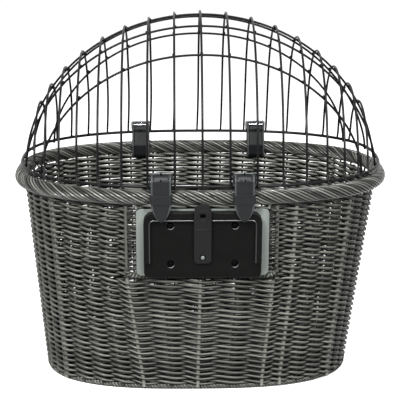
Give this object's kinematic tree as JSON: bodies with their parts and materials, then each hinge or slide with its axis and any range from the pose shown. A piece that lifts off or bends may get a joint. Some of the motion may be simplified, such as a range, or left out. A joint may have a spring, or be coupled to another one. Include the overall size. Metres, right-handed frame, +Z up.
{
  "type": "bicycle basket",
  "caption": "Woven handlebar basket for a pet with a domed wire grille that opens on two rear straps, buckled front straps and a click-on mount plate with a release lever.",
  "frame": {"origin": "centre of the whole basket's footprint, on the surface it stands on", "axes": "+X across the basket to the viewer's right when the mount faces the viewer, +Y to the rear away from the mount, +Z up"},
  "size_m": [0.479, 0.3414, 0.4586],
  "materials": {
    "strand": "woven grey polyrattan strand, satin",
    "painted_wire": "dark grey gloss coating on steel wire",
    "plate_steel": "grey-green satin paint on sheet steel",
    "plastic": "black moulded plastic, fine grain",
    "leather": "dark blue-grey imitation leather",
    "bright_steel": "bright nickel plate"
  },
  "bodies": {
    "basket": {"woven_wall": "strand", "base_panel": "strand", "rim_border": "strand", "foot_border": "strand", "window_frame": "strand", "reinforcement_plate": "plate_steel", "click_plate": "plastic", "plate_screw_lower_left": "bright_steel", "plate_screw_upper_left": "bright_steel", "plate_screw_lower_right": "bright_steel", "plate_screw_upper_right": "bright_steel", "plate_nut_lower_left": "bright_steel", "plate_nut_upper_left": "bright_steel", "plate_nut_lower_right": "bright_steel", "plate_nut_upper_right": "bright_steel", "lever_screw": "bright_steel", "front_left_strap": "leather", "front_left_buckle_frame": "bright_steel", "front_left_buckle_prong": "bright_steel", "front_left_strap_keeper": "leather", "front_right_strap": "leather", "front_right_buckle_frame": "bright_steel", "front_right_buckle_prong": "bright_steel", "front_right_strap_keeper": "leather", "rear_left_strap": "leather", "rear_left_buckle_frame": "bright_steel", "rear_left_buckle_prong": "bright_steel", "rear_left_strap_keeper": "leather", "rear_right_strap": "leather", "rear_right_buckle_frame": "bright_steel", "rear_right_buckle_prong": "bright_steel", "rear_right_strap_keeper": "leather"},
    "grille": {"grille_base_wire": "painted_wire", "grille_hoop_01": "painted_wire", "grille_hoop_02": "painted_wire", "grille_hoop_03": "painted_wire", "grille_hoop_04": "painted_wire", "grille_hoop_05": "painted_wire", "grille_hoop_06": "painted_wire", "grille_hoop_07": "painted_wire", "grille_hoop_08": "painted_wire", "grille_hoop_09": "painted_wire", "grille_hoop_10": "painted_wire", "grille_hoop_11": "painted_wire", "grille_hoop_12": "painted_wire", "grille_hoop_13": "painted_wire", "grille_hoop_14": "painted_wire", "grille_hoop_15": "painted_wire", "grille_hoop_16": "painted_wire", "grille_hoop_17": "painted_wire", "grille_long_wire_1": "painted_wire", "grille_long_wire_2": "painted_wire", "grille_long_wire_3": "painted_wire", "grille_long_wire_4": "painted_wire", "grille_long_wire_5": "painted_wire"},
    "lever": {"release_lever": "plastic"}
  },
  "joints": [
    {"name": "grille_hinge", "type": "hinge", "parent": "basket", "child": "grille", "pos_m": [0, 0.15152, 0.27399], "axis": [-1, 0, 0], "range_deg": [0, 110], "deforming": ["front_left_strap", "front_right_strap"]},
    {"name": "release_lever_press", "type": "hinge", "parent": "basket", "child": "lever", "pos_m": [0, -0.15634, 0.17852], "axis": [-1, 0, 0], "range_deg": [0, 3], "stiffness_Nm_per_rad": 6}
  ]
}
